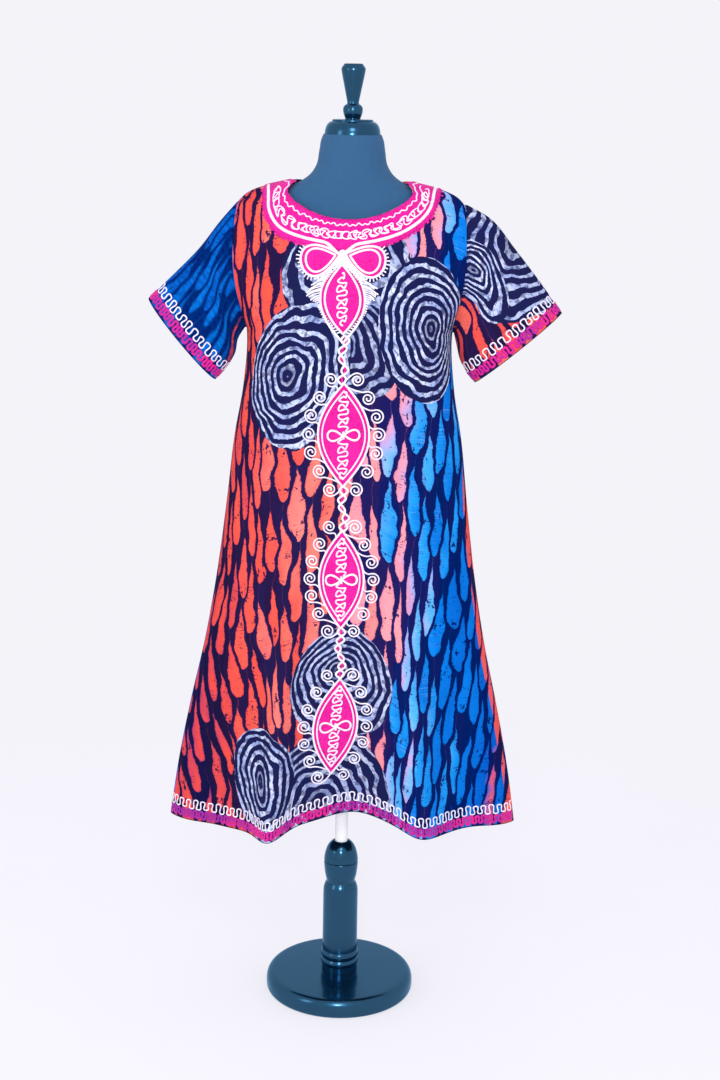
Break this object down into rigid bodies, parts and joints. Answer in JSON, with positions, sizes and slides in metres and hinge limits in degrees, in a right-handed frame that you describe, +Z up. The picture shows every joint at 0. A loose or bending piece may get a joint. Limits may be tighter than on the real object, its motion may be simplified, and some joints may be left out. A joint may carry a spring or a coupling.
{
  "type": "ankara wax print dress on a dress form",
  "caption": "Calf-length A-line wax print dress with flared short sleeves and embroidered yoke and medallions, on a limbless dress form with a sliding pole and turned round stand.",
  "frame": {"origin": "centre of the base disc's underside, on the floor, on the axis of the stand and the form", "axes": "+Z up along the pole, the wearer's front towards -Y, +X to the wearer's left"},
  "size_m": [0.7618, 0.353, 1.796],
  "materials": {
    "wax_print": "matte",
    "pink_embroidery": "satin",
    "form_jersey": "matte",
    "black_lacquer": "gloss",
    "lacquered_disc": "gloss",
    "white_pole": "satin"
  },
  "bodies": {
    "stand": {"base_disc": "lacquered_disc", "pedestal_column": "black_lacquer", "lock_collar": "black_lacquer"},
    "form": {"pole": "white_pole", "torso_form": "form_jersey", "neck_cap": "black_lacquer", "finial": "black_lacquer", "front_panel": "wax_print", "back_panel": "wax_print", "sleeve_right": "wax_print", "sleeve_left": "wax_print", "neck_yoke": "pink_embroidery", "medallion_throat": "pink_embroidery", "medallion_upper": "pink_embroidery", "medallion_middle": "pink_embroidery", "medallion_lower": "pink_embroidery"}
  },
  "joints": [
    {"name": "height_slide", "type": "slide", "parent": "stand", "child": "form", "axis": [0, 0, 1], "range_m": [-0.1, 0.08]}
  ]
}
